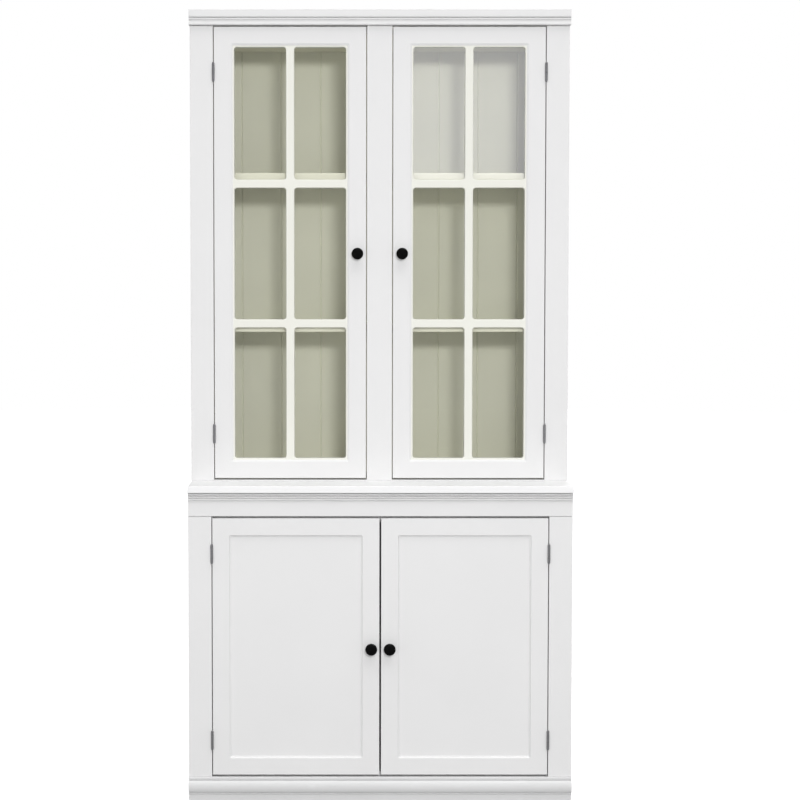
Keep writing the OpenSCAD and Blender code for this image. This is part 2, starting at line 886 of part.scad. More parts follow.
base_side(LEFT);  // base_side_left
base_side(RIGHT);  // base_side_right
base_floor();
base_back();
base_stile(LEFT);  // base_stile_left
base_stile(RIGHT);  // base_stile_right
base_frieze();
base_door_stop();
plinth();
countertop();
counter_moulding();
base_shelf();
shelf_pins();
hutch_side(LEFT);  // hutch_side_left
hutch_side(RIGHT);  // hutch_side_right
hutch_floor();
hutch_top();
hutch_back_boards();
hutch_stile(LEFT);  // hutch_stile_left
hutch_stile(RIGHT);  // hutch_stile_right
hutch_mullion();
hutch_shelf(upper_shelf_z);  // hutch_shelf_upper
hutch_shelf(lower_shelf_z);  // hutch_shelf_lower
cornice();
frame_hinge_leaves();
frame_screws();
hinge_pins();
magnetic_catches();
hutch_door_stiles(LEFT);  // hutch_left_stiles
hutch_door_rails(LEFT);  // hutch_left_rails
hutch_door_muntins(LEFT);  // hutch_left_muntins
hutch_door_panes(LEFT);  // hutch_left_panes
hutch_door_beads(LEFT);  // hutch_left_glazing_beads
hutch_door_knob(LEFT);  // hutch_left_knob
hutch_door_hinge_leaves(LEFT);  // hutch_left_hinge_leaves
hutch_door_screws(LEFT);  // hutch_left_screws
hutch_door_strike_plate(LEFT);  // hutch_left_strike_plate
hutch_door_stiles(RIGHT);  // hutch_right_stiles
hutch_door_rails(RIGHT);  // hutch_right_rails
hutch_door_muntins(RIGHT);  // hutch_right_muntins
hutch_door_panes(RIGHT);  // hutch_right_panes
hutch_door_beads(RIGHT);  // hutch_right_glazing_beads
hutch_door_knob(RIGHT);  // hutch_right_knob
hutch_door_hinge_leaves(RIGHT);  // hutch_right_hinge_leaves
hutch_door_screws(RIGHT);  // hutch_right_screws
hutch_door_strike_plate(RIGHT);  // hutch_right_strike_plate
base_door_stiles(LEFT);  // base_left_stiles
base_door_rails(LEFT);  // base_left_rails
base_door_panel(LEFT);  // base_left_panel
base_door_knob(LEFT);  // base_left_knob
base_door_hinge_leaves(LEFT);  // base_left_hinge_leaves
base_door_screws(LEFT);  // base_left_screws
base_door_strike_plate(LEFT);  // base_left_strike_plate
base_door_stiles(RIGHT);  // base_right_stiles
base_door_rails(RIGHT);  // base_right_rails
base_door_panel(RIGHT);  // base_right_panel
base_door_knob(RIGHT);  // base_right_knob
base_door_hinge_leaves(RIGHT);  // base_right_hinge_leaves
base_door_screws(RIGHT);  // base_right_screws
base_door_strike_plate(RIGHT);  // base_right_strike_plate
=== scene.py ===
# China cabinet: the visual model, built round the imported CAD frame. Metres, +Z up, front towards -Y.
import json
import math

import bmesh
import bpy
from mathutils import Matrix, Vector


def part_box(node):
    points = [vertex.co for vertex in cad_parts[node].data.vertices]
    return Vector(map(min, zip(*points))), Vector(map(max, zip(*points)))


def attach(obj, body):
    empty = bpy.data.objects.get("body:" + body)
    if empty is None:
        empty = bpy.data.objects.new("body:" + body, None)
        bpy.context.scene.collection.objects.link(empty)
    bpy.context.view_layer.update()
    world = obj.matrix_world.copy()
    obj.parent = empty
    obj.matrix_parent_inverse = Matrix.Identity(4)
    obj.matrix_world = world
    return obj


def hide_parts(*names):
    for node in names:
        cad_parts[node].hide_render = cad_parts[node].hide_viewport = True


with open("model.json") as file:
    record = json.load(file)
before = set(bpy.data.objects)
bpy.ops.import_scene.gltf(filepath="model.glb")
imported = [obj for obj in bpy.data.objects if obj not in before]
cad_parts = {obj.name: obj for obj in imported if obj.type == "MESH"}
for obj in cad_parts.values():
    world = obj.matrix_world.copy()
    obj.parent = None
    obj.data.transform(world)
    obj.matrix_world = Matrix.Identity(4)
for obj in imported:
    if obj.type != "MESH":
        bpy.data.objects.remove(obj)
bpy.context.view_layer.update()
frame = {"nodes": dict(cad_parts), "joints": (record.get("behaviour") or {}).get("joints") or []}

MM = 0.001
CABINET = "cabinet"
HUTCH_DOORS = ("hutch_left", "hutch_right")
BASE_DOORS = ("base_left", "base_right")


# ---------------------------------------------------------------- mesh helpers

WELD = 0.001 * MM
ON_PLANE = 1e-7
SHARP_DEG = 32
LATHE_SHARP_DEG = 40
BEVEL_SEGMENTS = 3
ROUND_PROFILE = 0.5
SMALLEST_CORNER = 0.02 * MM


def finish_piece(bm, name, body, material, node, sharp=SHARP_DEG):
    """Turns a bmesh into a piece that rides on a body and stands for a CAD node."""
    bmesh.ops.remove_doubles(bm, verts=bm.verts, dist=WELD)
    bmesh.ops.dissolve_degenerate(bm, edges=bm.edges, dist=WELD)
    bmesh.ops.recalc_face_normals(bm, faces=bm.faces)
    mesh = bpy.data.meshes.new(name)
    bm.to_mesh(mesh)
    bm.free()
    mesh.shade_smooth()
    mesh.set_sharp_from_angle(angle=math.radians(sharp))
    mesh.materials.append(material)
    piece = bpy.data.objects.new(name, mesh)
    bpy.context.scene.collection.objects.link(piece)
    weighted = piece.modifiers.new("flat_faces", "WEIGHTED_NORMAL")
    weighted.keep_sharp = True
    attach(piece, body)
    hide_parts(node)
    return piece


def skin(bm, rings):
    """Faces between each ring of vertices and the next."""
    for a, b in zip(rings, rings[1:]):
        for i in range(len(a)):
            j = (i + 1) % len(a)
            bm.faces.new((a[i], a[j], b[j], b[i]))


def loft(bm, loops, closed=False):
    """Faces between loops of points; the first and last loops are capped unless closed."""
    rings = [[bm.verts.new(p) for p in loop] for loop in loops]
    if closed:
        skin(bm, rings + rings[:1])
    else:
        skin(bm, rings)
        bm.faces.new(rings[0])
        bm.faces.new(rings[-1])
    return rings


def ease_edges(bm, edges, ease):
    """Rounds edges over a width."""
    bmesh.ops.bevel(bm, geom=edges, offset=ease, segments=BEVEL_SEGMENTS,
                    profile=ROUND_PROFILE, affect="EDGES")


def add_board(bm, low, high, ease):
    """A board with eased edges."""
    footprint = ((low.x, low.y), (high.x, low.y), (high.x, high.y), (low.x, high.y))
    rings = loft(bm, [[Vector((x, y, z)) for x, y in footprint] for z in (low.z, high.z)])
    edges = dict.fromkeys(e for ring in rings for v in ring for e in v.link_edges)
    ease_edges(bm, list(edges), ease)


def arc(cx, cy, radius, start, end, steps):
    """Points on an arc, with both ends; angles in degrees."""
    angles = [math.radians(start + (end - start) * i / steps) for i in range(steps + 1)]
    return [(cx + radius * math.cos(a), cy + radius * math.sin(a)) for a in angles]


def strip_x(bm, sections):
    """Sections of (x, outline of (depth, height) points), lofted along X."""
    loft(bm, [[Vector((x, y, z)) for y, z in outline] for x, outline in sections])


def rounded_rect(x0, z0, x1, z1, y, radius, steps):
    """A closed loop in the XZ plane with rounded corners, always 4 * (steps + 1) points."""
    r = max(radius, SMALLEST_CORNER)
    corners = (
        (x1 - r, z1 - r, 0),
        (x0 + r, z1 - r, 90),
        (x0 + r, z0 + r, 180),
        (x1 - r, z0 + r, 270),
    )
    loop = []
    for cx, cz, start in corners:
        loop += [Vector((px, y, pz)) for px, pz in arc(cx, cz, r, start, start + 90, steps)]
    return loop


def keep_between(bm, x0, x1):
    """Cuts away what lies outside two X planes and closes the cuts."""
    for x, normal in ((x0, -1), (x1, 1)):
        geometry = bm.verts[:] + bm.edges[:] + bm.faces[:]
        bmesh.ops.bisect_plane(bm, geom=geometry, dist=ON_PLANE, plane_co=(x, 0, 0),
                               plane_no=(normal, 0, 0), clear_outer=True)
        open_edges = [e for e in bm.edges if e.is_boundary]
        bmesh.ops.holes_fill(bm, edges=open_edges, sides=0)


def lathe(bm, profile, centre, axis, steps):
    """Turns (radius, distance) points round an axis through centre; both ends close to a point."""
    axis = Vector(axis).normalized()
    side = axis.orthogonal().normalized()
    other = axis.cross(side)
    rings = []
    for radius, along in profile:
        middle = centre + axis * along
        if radius == 0:
            rings.append([bm.verts.new(middle)])
            continue
        ring = []
        for i in range(steps):
            a = 2 * math.pi * i / steps
            ring.append(bm.verts.new(middle + (side * math.cos(a) + other * math.sin(a)) * radius))
        rings.append(ring)
    for a, b in zip(rings, rings[1:]):
        if len(a) == len(b):
            skin(bm, [a, b])
            continue
        for i in range(steps):
            j = (i + 1) % steps
            bm.faces.new((a[0], b[i], b[j]) if len(a) == 1 else (a[i], a[j], b[0]))


# ---------------------------------------------------------------- materials

# Noise patterns: scale, in features per metre or so, and detail
CLOUD = (5.0, 3.0)
WAVES = (6.0, 1.0)
STROKES = (60.0, 4.0)
PEEL = (420.0, 1.0)
MARKS = (500.0, 3.0)
FINE_ROUGHNESS = 0.6
RAMP_START = 0.3
RAMP_END = 0.7
PEEL_SHARE = 0.4
PAINT_IOR = 1.48
PAINT_GLOSS = (0.46, 0.6)
PAINT_RELIEF = 0.4 * MM
METAL_RELIEF = 0.1 * MM
METAL_BUMP = 0.03
MARK_SHADE = 0.85
GLASS_RELIEF = 1 * MM
GLASS_BUMP = 0.02
GLASS_ROUGHNESS = 0.02
TWO_FACE_IOR = 1.75


def new_material(name):
    material = bpy.data.materials.new(name)
    material.use_nodes = True
    nodes, links = material.node_tree.nodes, material.node_tree.links
    nodes.clear()
    output = nodes.new("ShaderNodeOutputMaterial")
    return material, nodes, links, output


def noise(nodes, links, coords, scale, detail, stretch=(1, 1, 1), roughness=0.5):
    """A noise texture over object coordinates, stretched along some axes."""
    mapping = nodes.new("ShaderNodeMapping")
    mapping.inputs["Scale"].default_value = stretch
    links.new(coords.outputs["Object"], mapping.inputs["Vector"])
    texture = nodes.new("ShaderNodeTexNoise")
    texture.inputs["Scale"].default_value = scale
    texture.inputs["Detail"].default_value = detail
    texture.inputs["Roughness"].default_value = roughness
    links.new(mapping.outputs["Vector"], texture.inputs["Vector"])
    return texture.outputs["Fac"]


def ramp(nodes, links, factor, low, high):
    """Maps a factor to a colour or grey between low and high."""
    node = nodes.new("ShaderNodeValToRGB")
    node.color_ramp.elements[0].position = RAMP_START
    node.color_ramp.elements[1].position = RAMP_END
    for element, value in zip(node.color_ramp.elements, (low, high)):
        colour = (value, value, value) if isinstance(value, float) else value
        element.color = (*colour, 1)
    links.new(factor, node.inputs["Fac"])
    return node.outputs["Color"]


def relief(nodes, links, height, strength, distance):
    """The normal of a surface raised by a height."""
    node = nodes.new("ShaderNodeBump")
    node.inputs["Strength"].default_value = strength
    node.inputs["Distance"].default_value = distance
    links.new(height, node.inputs["Height"])
    return node.outputs["Normal"]


def paint(name, colour, stretch, vary=0.02, bump=0.06):
    """Satin paint: faint tone changes, fine orange peel and brush strokes along the board."""
    material, nodes, links, output = new_material(name)
    shader = nodes.new("ShaderNodeBsdfPrincipled")
    coords = nodes.new("ShaderNodeTexCoord")
    cloud = noise(nodes, links, coords, *CLOUD)
    low = tuple(c * (1 - vary) for c in colour)
    links.new(ramp(nodes, links, cloud, low, colour), shader.inputs["Base Color"])
    strokes = noise(nodes, links, coords, *STROKES, stretch, FINE_ROUGHNESS)
    links.new(ramp(nodes, links, strokes, *PAINT_GLOSS), shader.inputs["Roughness"])
    peel = noise(nodes, links, coords, *PEEL)
    mix = nodes.new("ShaderNodeMix")
    mix.data_type = "FLOAT"
    mix.inputs["Factor"].default_value = PEEL_SHARE
    links.new(strokes, mix.inputs["A"])
    links.new(peel, mix.inputs["B"])
    normal = relief(nodes, links, mix.outputs["Result"], bump, PAINT_RELIEF)
    links.new(normal, shader.inputs["Normal"])
    shader.inputs["IOR"].default_value = PAINT_IOR
    links.new(shader.outputs["BSDF"], output.inputs["Surface"])
    return material


def metal(name, colour, rough, stretch=(1, 1, 1), metallic=1.0, specular=0.5):
    """Metal, lacquer or plastic whose tone and roughness vary along fine marks."""
    material, nodes, links, output = new_material(name)
    shader = nodes.new("ShaderNodeBsdfPrincipled")
    coords = nodes.new("ShaderNodeTexCoord")
    marks = noise(nodes, links, coords, *MARKS, stretch, FINE_ROUGHNESS)
    dark = tuple(c * MARK_SHADE for c in colour)
    links.new(ramp(nodes, links, marks, dark, colour), shader.inputs["Base Color"])
    links.new(ramp(nodes, links, marks, *rough), shader.inputs["Roughness"])
    normal = relief(nodes, links, marks, METAL_BUMP, METAL_RELIEF)
    links.new(normal, shader.inputs["Normal"])
    shader.inputs["Metallic"].default_value = metallic
    shader.inputs["Specular IOR Level"].default_value = specular
    links.new(shader.outputs["BSDF"], output.inputs["Surface"])
    return material


def mix_shaders(nodes, links, factor, first, second):
    """A mix of two shaders: the first where the factor is 0, the second where it is 1."""
    mix = nodes.new("ShaderNodeMixShader")
    links.new(factor, mix.inputs["Fac"])
    links.new(first, mix.inputs[1])
    links.new(second, mix.inputs[2])
    return mix.outputs["Shader"]


def clear_glass(name, tint):
    """Float glass: what is behind it shows through a faint tint, and the face towards the eye
    mirrors the room for both faces. The far face only tints: straight light would be trapped."""
    material, nodes, links, output = new_material(name)
    coords = nodes.new("ShaderNodeTexCoord")
    waviness = noise(nodes, links, coords, *WAVES)
    through = nodes.new("ShaderNodeBsdfTransparent")
    through.inputs["Color"].default_value = (*tint, 1)
    mirror = nodes.new("ShaderNodeBsdfGlossy")
    mirror.inputs["Roughness"].default_value = GLASS_ROUGHNESS
    normal = relief(nodes, links, waviness, GLASS_BUMP, GLASS_RELIEF)
    links.new(normal, mirror.inputs["Normal"])
    fresnel = nodes.new("ShaderNodeFresnel")
    fresnel.inputs["IOR"].default_value = TWO_FACE_IOR
    near = mix_shaders(nodes, links, fresnel.outputs["Fac"], through.outputs["BSDF"],
                       mirror.outputs["BSDF"])
    geometry = nodes.new("ShaderNodeNewGeometry")
    both = mix_shaders(nodes, links, geometry.outputs["Backfacing"], near, through.outputs["BSDF"])
    links.new(both, output.inputs["Surface"])
    return material


ALONG_X = (0.05, 1, 1)
ALONG_Z = (1, 1, 0.05)
BRUSHED_Z = (1, 1, 0.1)
WHITE = (0.743, 0.741, 0.739)
# darker than the white paint: painted shade low down by the floor, on what is one paint
PLINTH_SHADE_WHITE = (0.665, 0.665, 0.665)
# lighter than the white paint: painted light on the worktop, standing in for light from overhead
COUNTER_LIT_WHITE = (0.80, 0.80, 0.80)
# lighter than the frames' white, with a warm cast: painted light on the glazing bars
GRID_LIT_WHITE = (0.775, 0.775, 0.71)
# cream, and lighter than the white paint: the cream is the inside's own colour, the extra lightness is
# painted light on the shelves behind the glass
SHELF_LIT_CREAM = (0.84, 0.83, 0.70)
# cream, and lighter than the outside white: the cream is the inside's own colour, the extra lightness
# is painted light inside the cabinet
INTERIOR_LIT_CREAM = (0.82, 0.82, 0.70)
GLASS_TINT = (0.985, 0.987, 0.978)
KNOB_BLACK = (0.0018, 0.0018, 0.0018)
STEEL_GREY = (0.33, 0.33, 0.34)
CATCH_WHITE = (0.78, 0.78, 0.77)

PAINT_X = paint("white_paint_across", WHITE, ALONG_X)
PAINT_Z = paint("white_paint_upright", WHITE, ALONG_Z)
PLINTH_PAINTED_SHADE = paint("plinth_painted_shade", PLINTH_SHADE_WHITE, ALONG_X, vary=0.04)
COUNTER_PAINTED_LIGHT = paint("counter_painted_light", COUNTER_LIT_WHITE, ALONG_X)
GRID_PAINTED_LIGHT = paint("grid_painted_light", GRID_LIT_WHITE, ALONG_Z, bump=0.03)
SHELF_CREAM_PAINTED_LIGHT = paint("shelf_cream_painted_light", SHELF_LIT_CREAM, ALONG_X)
INSIDE_CREAM_PAINTED_LIGHT = paint("interior_cream_painted_light", INTERIOR_LIT_CREAM, ALONG_Z, vary=0.05)
GLASS = clear_glass("window_glass", GLASS_TINT)
BLACK = metal("black_lacquer", KNOB_BLACK, rough=(0.3, 0.42), metallic=0.0, specular=0.07)
STEEL = metal("satin_steel", STEEL_GREY, rough=(0.25, 0.45), stretch=BRUSHED_Z)
PLASTIC = metal("catch_plastic", CATCH_WHITE, rough=(0.4, 0.55), metallic=0.0)


# ---------------------------------------------------------------- carcass boards

# Height and depth in mm of the dark joint line over a board's top
JOINT_GAPS = {
    "base_stile_left": (1.0, 4), "base_stile_right": (1.0, 4),
    "hutch_stile_left": (2.0, 6), "hutch_stile_right": (2.0, 6), "hutch_mullion": (2.0, 6),
}
# How far the edges are eased, in mm
UPRIGHT_BOARDS = {
    "base_side_left": 0.8, "base_side_right": 0.8, "base_back": 0.3,
    "base_stile_left": 0.9, "base_stile_right": 0.9,
    "hutch_side_left": 0.8, "hutch_side_right": 0.8,
    "hutch_stile_left": 0.9, "hutch_stile_right": 0.9, "hutch_mullion": 0.9,
}
LEVEL_BOARDS = {
    "base_floor": 0.6, "base_frieze": 0.9, "base_door_stop": 0.8, "base_shelf": 1.2,
    "hutch_top": 0.6, "hutch_shelf_upper": 1.2, "hutch_shelf_lower": 1.2,
}
CREAM_BOARDS = ("hutch_top", "hutch_shelf_upper", "hutch_shelf_lower")


def add_notched_board(bm, low, high, ease, gap, depth):
    """An eased board whose top front edge is cut back, so that a dark joint line shows above it."""
    inner, notch = low.y + depth, high.z - gap
    outline = [(low.y, low.z), (high.y, low.z), (high.y, high.z), (inner, high.z),
               (inner, notch), (low.y, notch)]
    strip_x(bm, [(low.x, outline), (high.x, outline)])

    def in_notch(vert):
        return abs(vert.co.y - inner) < WELD and abs(vert.co.z - notch) < WELD

    ease_edges(bm, [e for e in bm.edges if not any(map(in_notch, e.verts))], ease)


def build_boards():
    """The carcass's plain boards."""
    for boards, material in ((UPRIGHT_BOARDS, PAINT_Z), (LEVEL_BOARDS, PAINT_X)):
        for node, ease in boards.items():
            low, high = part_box(node)
            bm = bmesh.new()
            if node in JOINT_GAPS:
                gap, depth = JOINT_GAPS[node]
                add_notched_board(bm, low, high, ease * MM, gap * MM, depth * MM)
            else:
                add_board(bm, low, high, ease * MM)
            # the shelves and the hutch top take the lighter cream, which is partly painted light
            coat = SHELF_CREAM_PAINTED_LIGHT if node in CREAM_BOARDS else material
            finish_piece(bm, node + "_board", CABINET, coat, node)


def build_hutch_floor():
    """The floor board, and the thin white sill under each door."""
    low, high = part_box("hutch_floor")
    mullion_low, mullion_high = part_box("hutch_mullion")
    stile_left, stile_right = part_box("hutch_stile_left")[1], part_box("hutch_stile_right")[0]
    frame_back = mullion_high.y
    board_ease = 0.8 * MM
    sill_ease = 0.5 * MM
    sill_z = low.z + 2.5 * MM
    bm = bmesh.new()
    add_board(bm, Vector((low.x, frame_back, low.z)), high, board_ease)
    board_faces = len(bm.faces)
    for x0, x1 in ((stile_left.x, mullion_low.x), (mullion_high.x, stile_right.x)):
        add_board(bm, Vector((x0, low.y, low.z)), Vector((x1, frame_back, sill_z)), sill_ease)
    for face in list(bm.faces)[board_faces:]:
        face.material_index = 1
    # the floor board takes the lighter cream, which is partly painted light
    piece = finish_piece(bm, "hutch_floor_board", CABINET, SHELF_CREAM_PAINTED_LIGHT, "hutch_floor")
    piece.data.materials.append(PAINT_X)


# ---------------------------------------------------------------- mouldings

def build_plinth():
    """A lower board with a small lip, a torus, a quirk and a top fillet, in one moulded board.
    Between the stiles its top is rebated, which leaves a dark line under the doors."""
    low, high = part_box("plinth")
    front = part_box("base_frieze")[0].y
    back, top = high.y, high.z
    soft = 0.6 * MM
    board_y = front - 2 * MM
    lip = 1.5 * MM
    quirk_y, quirk_h = front - 1 * MM, 1.5 * MM
    fillet_y, fillet_z = front - 3.5 * MM, top - 6.5 * MM
    fillet_r = 1.5 * MM
    torus_y, torus_z = front - 3 * MM, fillet_z - 31 * MM
    torus_out = 8 * MM
    torus_r = (fillet_z - quirk_h - torus_z) / 2
    torus_steps = 28
    lip_y = board_y - lip + soft
    outline = [(back, low.z), (board_y + soft, low.z), (board_y, low.z + soft),
               (board_y, torus_z - 3 * lip)]
    outline += arc(lip_y, torus_z - 2 * lip, soft, 200, 180, 2)
    outline += arc(lip_y, torus_z - lip - soft, soft, 180, 90, 4)
    outline += [(torus_y, torus_z - lip)]
    for out, up in arc(0, 0, 1, 270, 90, torus_steps):
        outline.append((torus_y + torus_out * out, torus_z + torus_r * (1 + up)))
    outline += [(quirk_y, fillet_z - quirk_h), (quirk_y, fillet_z)]
    outline += arc(fillet_y + soft, fillet_z + soft, soft, 270, 180, 4)
    outline += arc(fillet_y + fillet_r, top - fillet_r, fillet_r, 180, 90, 5)
    rebate_y, rebate_z = front + 1.5 * MM, top - 8 * MM
    wall_y = rebate_y + 1 * MM
    full = outline + [(rebate_y, top), (wall_y, top), (back, top)]
    cut = outline + [(rebate_y, top), (wall_y, rebate_z), (back, rebate_z)]
    left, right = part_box("base_stile_left")[1].x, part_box("base_stile_right")[0].x
    bm = bmesh.new()
    strip_x(bm, [(low.x, full), (left, full), (left, cut), (right, cut), (right, full),
                 (high.x, full)])
    # the plinth's darker paint is painted shade near the floor
    finish_piece(bm, "plinth_moulding", CABINET, PLINTH_PAINTED_SHADE, "plinth")


def build_counter_moulding():
    """Three reeds between deep quirks over a fillet, stepping back downwards."""
    low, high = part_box("counter_moulding")
    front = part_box("base_frieze")[0].y
    quirk_y = front - 1 * MM
    fillet_y, fillet_z = front - 3 * MM, low.z + 2 * MM
    soft = 0.6 * MM
    reed_count, reed_r = 3, 1.65 * MM
    first_z, pitch = 3.5 * MM, 5.6 * MM
    first_out, step_out = 3.5 * MM, 1.8 * MM
    outline = [(front, low.z), (fillet_y + soft, low.z)]
    outline += arc(fillet_y + soft, low.z + soft, soft, 270, 180, 3)
    outline += arc(fillet_y + soft, fillet_z - soft, soft, 180, 90, 3)
    outline += [(quirk_y, fillet_z)]
    for i in range(reed_count):
        y, z = front - (first_out + step_out * i), low.z + (first_z + pitch * i)
        outline += [(quirk_y, z)]
        outline += arc(y, z + reed_r, reed_r, 270, 90, 12)
        outline += [(quirk_y, z + 2 * reed_r)]
    outline += [(quirk_y, high.z), (front, high.z)]
    bm = bmesh.new()
    strip_x(bm, [(low.x, outline), (high.x, outline)])
    finish_piece(bm, "counter_reeds", CABINET, PAINT_X, "counter_moulding")


def build_countertop():
    """A board whose front and side edges lean back a little and are rounded above."""
    low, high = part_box("countertop")
    soft = 0.6 * MM
    nose = 4 * MM
    lean = 1.2 * MM
    radius = 2.5 * MM
    levels = [(soft, low.z), (0, low.z + soft), (0, low.z + nose)]
    levels += arc(lean + radius, high.z - radius, radius, 180, 90, 8)
    loops = []
    for inset, z in levels:
        x0, x1, y0 = low.x + inset, high.x - inset, low.y + inset
        loops.append([Vector((x0, y0, z)), Vector((x1, y0, z)),
                      Vector((x1, high.y, z)), Vector((x0, high.y, z))])
    bm = bmesh.new()
    loft(bm, loops)
    # the worktop's lighter paint is painted light from overhead
    finish_piece(bm, "countertop_board", CABINET, COUNTER_PAINTED_LIGHT, "countertop")


def build_cornice():
    """A fascia with a rounded lower edge, over a quirk, a fillet and a splayed lower member."""
    low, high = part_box("cornice")
    front, back, bottom, top = low.y, high.y, low.z, high.z
    soft = 0.7 * MM
    quirk_y = front + 8 * MM
    lower_y, lower_r = front + 3 * MM, 3 * MM
    # the lower member's splay in mm: distance in, height
    splay = ((0.7, 6), (1.7, 9), (2.5, 11))
    lower_top = bottom + 11 * MM
    fillet_z = lower_top + 1 * MM
    fillet_top = fillet_z + 4 * MM
    fascia_z = fillet_z + 5.5 * MM
    fascia_r, top_r = 4 * MM, 1.5 * MM
    outline = [(back, bottom)]
    outline += arc(lower_y + lower_r, bottom + lower_r, lower_r, 270, 180, 8)
    outline += [(lower_y + d * MM, bottom + h * MM) for d, h in splay]
    outline += [(quirk_y, lower_top), (quirk_y, fillet_z)]
    outline += arc(lower_y + soft, fillet_z + soft, soft, 270, 180, 3)
    outline += arc(lower_y + soft, fillet_top - soft, soft, 180, 90, 3)
    outline += [(quirk_y, fillet_top), (quirk_y, fascia_z)]
    outline += arc(front + fascia_r, fascia_z + fascia_r, fascia_r, 270, 180, 10)
    outline += arc(front + top_r, top - top_r, top_r, 180, 90, 5)
    outline += [(back, top)]
    bm = bmesh.new()
    strip_x(bm, [(low.x, outline), (high.x, outline)])
    finish_piece(bm, "cornice_moulding", CABINET, PAINT_X, "cornice")


# ---------------------------------------------------------------- door frames

FRAME_EASE = 1.2 * MM
OUTER_CORNER = 0.6 * MM
INNER_CORNER = 0.5 * MM
FRAME_STEPS = 4
# How far the stiles reach past the opening's upright sides, where they meet the rails
STILE_OVERLAP = 0.01 * MM
# A length past any door, for cuts that keep the whole outer side
BEYOND = 1


def outer_section(width_x, width_z, thickness):
    """A frame's outer edge, eased in front and chamfered behind.
    Rows are distance out in X, distance out in Z, depth behind the face and corner radius."""
    half = FRAME_EASE / 2
    rows = []
    for out, up in arc(0, 0, 1, 90, 0, FRAME_STEPS):
        rows.append((width_x - FRAME_EASE + FRAME_EASE * out,
                     width_z - FRAME_EASE + FRAME_EASE * out,
                     FRAME_EASE - FRAME_EASE * up, OUTER_CORNER))
    rows.append((width_x, width_z, thickness - half, OUTER_CORNER))
    rows.append((width_x - half, width_z - half, thickness, OUTER_CORNER))
    return rows


def build_frame(prefix, opening, front, thickness, steps):
    """A door frame swept round its opening, then cut into two stiles and two rails.
    Steps are the section's rows behind and inside the frame, after its outer edge."""
    x0, z0, x1, z1 = opening
    low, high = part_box(prefix + "_stiles")
    rows = outer_section(x0 - low.x, z0 - low.z, thickness) + steps
    left, right = x0 + STILE_OVERLAP, x1 - STILE_OVERLAP
    members = (
        ("stiles", PAINT_Z, [(low.x - BEYOND, left), (right, high.x + BEYOND)]),
        ("rails", PAINT_X, [(left, right)]),
    )
    for member, material, spans in members:
        whole = bmesh.new()
        for a, b in spans:
            bm = bmesh.new()
            loops = [
                rounded_rect(x0 - dx, z0 - dz, x1 + dx, z1 + dz, front + y, r, FRAME_STEPS)
                for dx, dz, y, r in rows
            ]
            loft(bm, loops, closed=True)
            keep_between(bm, a, b)
            part = bpy.data.meshes.new("part")
            bm.to_mesh(part)
            bm.free()
            whole.from_mesh(part)
            bpy.data.meshes.remove(part)
        node = f"{prefix}_{member}"
        finish_piece(whole, node + "_frame", prefix + "_door", material, node)


# ---------------------------------------------------------------- glazing grid

PANE_COLUMNS = 2
PANE_ROWS = 3
MUNTIN_W = 19.5 * MM
GRID_BORDER = 3.5 * MM
GLASS_LIP = 6 * MM
PANE_CORNER = 7 * MM
BAR_EASE = 2 * MM
WEB_EASE = 0.3 * MM
CELL_WELD = 0.01 * MM
# Points on each corner of a pane's opening, less one
CORNER_STEPS = 6


def cell_boundary(hole, cell, y):
    """A pane cell's rectangle, with as many points as the loops of its opening."""
    hx0, hz0, hx1, hz1 = hole
    cx0, cz0, cx1, cz1 = cell
    half = CORNER_STEPS // 2
    count = CORNER_STEPS + 1
    edge = rounded_rect(hx0 - BAR_EASE, hz0 - BAR_EASE, hx1 + BAR_EASE, hz1 + BAR_EASE, y,
                        PANE_CORNER + BAR_EASE, CORNER_STEPS)
    loop = []
    for k, (px, pz) in enumerate(((cx1, cz1), (cx0, cz1), (cx0, cz0), (cx1, cz0))):
        first, last = edge[k * count], edge[k * count + CORNER_STEPS]
        # even corners start on an upright side, odd ones on a level side
        start = (px, first.z) if k % 2 == 0 else (first.x, pz)
        end = (last.x, pz) if k % 2 == 0 else (px, last.z)
        for i in range(count):
            if i <= half:
                t = i / half
                x, z = start[0] + (px - start[0]) * t, start[1] + (pz - start[1]) * t
            else:
                t = (i - half) / half
                x, z = px + (end[0] - px) * t, pz + (end[1] - pz) * t
            loop.append(Vector((x, y, z)))
    return loop


def grid_cell(bm, hole, cell, front, back):
    """One pane's share of the glazing grid: a rounded opening inside a rectangular cell."""
    hx0, hz0, hx1, hz1 = hole
    loops = [cell_boundary(hole, cell, front)]
    for out, up in arc(0, 0, 1, 90, 0, 5):
        grow = BAR_EASE * (1 - out)
        loops.append(rounded_rect(hx0 - grow, hz0 - grow, hx1 + grow, hz1 + grow,
                                  front + BAR_EASE * (1 - up), PANE_CORNER + grow, CORNER_STEPS))
    loops.append(rounded_rect(hx0, hz0, hx1, hz1, back, PANE_CORNER, CORNER_STEPS))
    loops.append(cell_boundary(hole, cell, back))
    skin(bm, [[bm.verts.new(p) for p in loop] for loop in loops])


def pane_openings(prefix):
    """Each pane's column, row and opening as (x0, z0, x1, z1)."""
    low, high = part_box(prefix + "_muntins")
    x0, z0 = low.x + GRID_BORDER, low.z + GRID_BORDER
    x1, z1 = high.x - GRID_BORDER, high.z - GRID_BORDER
    w = (x1 - x0 - (PANE_COLUMNS - 1) * MUNTIN_W) / PANE_COLUMNS
    h = (z1 - z0 - (PANE_ROWS - 1) * MUNTIN_W) / PANE_ROWS
    for i in range(PANE_COLUMNS):
        for j in range(PANE_ROWS):
            px, pz = x0 + i * (w + MUNTIN_W), z0 + j * (h + MUNTIN_W)
            yield i, j, (px, pz, px + w, pz + h)


